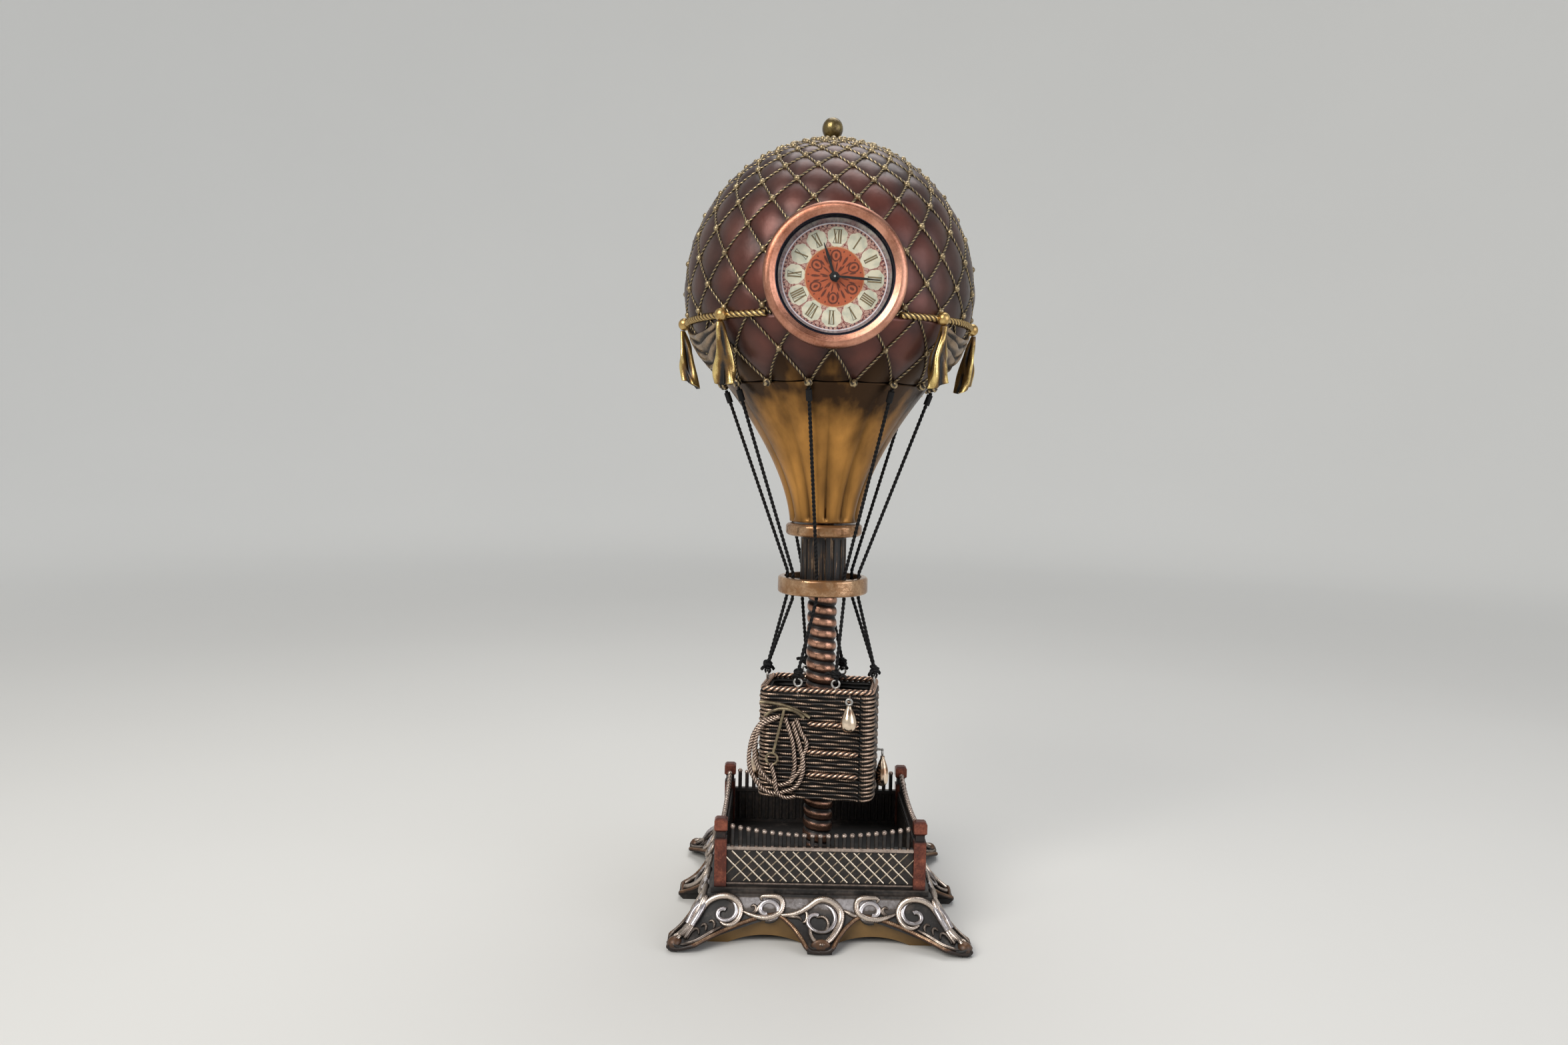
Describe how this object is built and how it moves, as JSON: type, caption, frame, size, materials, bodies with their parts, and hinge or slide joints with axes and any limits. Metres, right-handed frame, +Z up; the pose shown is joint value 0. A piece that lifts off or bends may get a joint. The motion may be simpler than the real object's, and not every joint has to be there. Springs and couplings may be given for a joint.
{
  "type": "balloon table clock",
  "caption": "Table clock shaped as a netted hot-air balloon, its wicker basket on a ringed column over a fenced square base with a scrolled edge, and a round dial in the balloon's front.",
  "frame": {"origin": "middle of the base's underside, on the surface it stands on", "axes": "+Z up along the column, -Y out of the dial, +X to the right seen from the front"},
  "size_m": [0.0948, 0.0956, 0.25],
  "materials": {
    "pewter_resin": "cast resin, black with rubbed pewter highlights",
    "bronze_resin": "cast resin, dark bronze with rubbed highlights",
    "copper_resin": "cast resin, rubbed copper",
    "wicker_resin": "cast resin, brown with rubbed beige highlights",
    "gold_resin": "cast resin, rubbed gold",
    "dark_resin": "cast resin, near black",
    "steel": "bright",
    "black_cord": "matte",
    "copper_plate": "polished copper plate",
    "clear_glass": "polished",
    "bright_metal": "polished",
    "dial_card": "printed, satin",
    "black_rubber": "matte",
    "black_plastic": "satin",
    "white_plastic": "satin",
    "brass_strip": "satin",
    "board_green": "satin",
    "copper_wire": "enamelled",
    "black_metal": "satin black"
  },
  "bodies": {
    "stand": {"base_casting": "pewter_resin", "corner_posts": "copper_resin", "fence_front": "bronze_resin", "fence_back": "bronze_resin", "fence_left": "bronze_resin", "fence_right": "bronze_resin", "lower_column": "copper_resin", "upper_column": "copper_resin", "basket_body": "wicker_resin", "basket_rim_rope": "wicker_resin", "basket_ropes": "copper_resin", "sandbags": "copper_resin", "rope_coil": "copper_resin", "grapnel_anchor": "copper_resin", "load_hoop": "copper_resin", "hoop_web": "dark_resin", "throat": "dark_resin", "mouth_collar": "copper_resin", "envelope_skirt": "bronze_resin", "envelope_shell": "bronze_resin", "crown_cap": "bronze_resin", "finial": "bronze_resin", "band_rope": "bronze_resin", "swag_knots": "bronze_resin", "swags": "bronze_resin", "swag_tails": "gold_resin", "net_beads": "gold_resin", "eyelets": "steel", "sandbag_hooks": "steel", "tie_rod": "steel", "rod_washer": "steel", "rod_nut": "steel", "rigging_cords": "black_cord", "cord_whippings": "black_cord", "rigging_knots": "black_cord"},
    "clock_insert": {"bezel": "copper_plate", "lens": "clear_glass", "reflector_ring": "bright_metal", "dial": "dial_card", "case_cup": "bright_metal", "gasket_ring": "black_rubber", "main_plate": "black_plastic", "train_bridge": "black_plastic", "battery": "bright_metal", "battery_contact": "brass_strip", "circuit_board": "board_green", "drive_coil": "copper_wire", "stator": "steel"},
    "case_back": {"case_back": "black_plastic"},
    "minute_hand": {"minute_hand": "black_metal", "cannon_pinion": "brass_strip"},
    "hour_hand": {"hour_hand": "black_metal", "hour_wheel": "white_plastic"},
    "setting_wheel": {"minute_wheel": "white_plastic", "setting_knob": "black_plastic"},
    "rotor": {"rotor": "steel"},
    "step_wheel": {"step_wheel": "white_plastic"},
    "seconds_wheel": {"seconds_wheel": "white_plastic"},
    "third_wheel": {"third_wheel": "white_plastic"},
    "centre_wheel": {"centre_wheel": "brass_strip"}
  },
  "joints": [
    {"name": "insert_pull", "type": "slide", "parent": "stand", "child": "clock_insert", "axis": [0, -1, 0], "range_m": [0, 0.024]},
    {"name": "back_cover_pull", "type": "slide", "parent": "clock_insert", "child": "case_back", "axis": [0, 1, 0], "range_m": [0, 0.006]},
    {"name": "minute_hand_turn", "type": "hinge", "parent": "clock_insert", "child": "minute_hand", "pos_m": [0, -0.04, 0.195], "axis": [0, 1, 0], "continuous": true},
    {"name": "hour_hand_turn", "type": "hinge", "parent": "clock_insert", "child": "hour_hand", "pos_m": [0, -0.04, 0.195], "axis": [0, 1, 0], "continuous": true},
    {"name": "setting_knob_turn", "type": "hinge", "parent": "clock_insert", "child": "setting_wheel", "pos_m": [0.00564, -0.04, 0.19705], "axis": [0, 1, 0], "continuous": true},
    {"name": "rotor_turn", "type": "hinge", "parent": "clock_insert", "child": "rotor", "pos_m": [0.00437, -0.04, 0.18832], "axis": [0, 1, 0], "continuous": true},
    {"name": "step_wheel_turn", "type": "hinge", "parent": "clock_insert", "child": "step_wheel", "pos_m": [0.00166, -0.04, 0.18931], "axis": [0, 1, 0], "continuous": true},
    {"name": "seconds_wheel_turn", "type": "hinge", "parent": "clock_insert", "child": "seconds_wheel", "pos_m": [-0.0017, -0.04, 0.18931], "axis": [0, 1, 0], "continuous": true},
    {"name": "third_wheel_turn", "type": "hinge", "parent": "clock_insert", "child": "third_wheel", "pos_m": [-0.00374, -0.04, 0.19284], "axis": [0, 1, 0], "continuous": true},
    {"name": "centre_wheel_turn", "type": "hinge", "parent": "clock_insert", "child": "centre_wheel", "pos_m": [0, -0.04, 0.195], "axis": [0, 1, 0], "continuous": true}
  ],
  "couplings": [
    {"joint": "hour_hand_turn", "follows": "minute_hand_turn", "ratio": 0.083333},
    {"joint": "setting_knob_turn", "follows": "minute_hand_turn", "ratio": -0.33333},
    {"joint": "step_wheel_turn", "follows": "rotor_turn", "ratio": -0.2},
    {"joint": "seconds_wheel_turn", "follows": "rotor_turn", "ratio": 0.033333},
    {"joint": "third_wheel_turn", "follows": "rotor_turn", "ratio": -0.0044444},
    {"joint": "centre_wheel_turn", "follows": "rotor_turn", "ratio": 0.00055556}
  ]
}
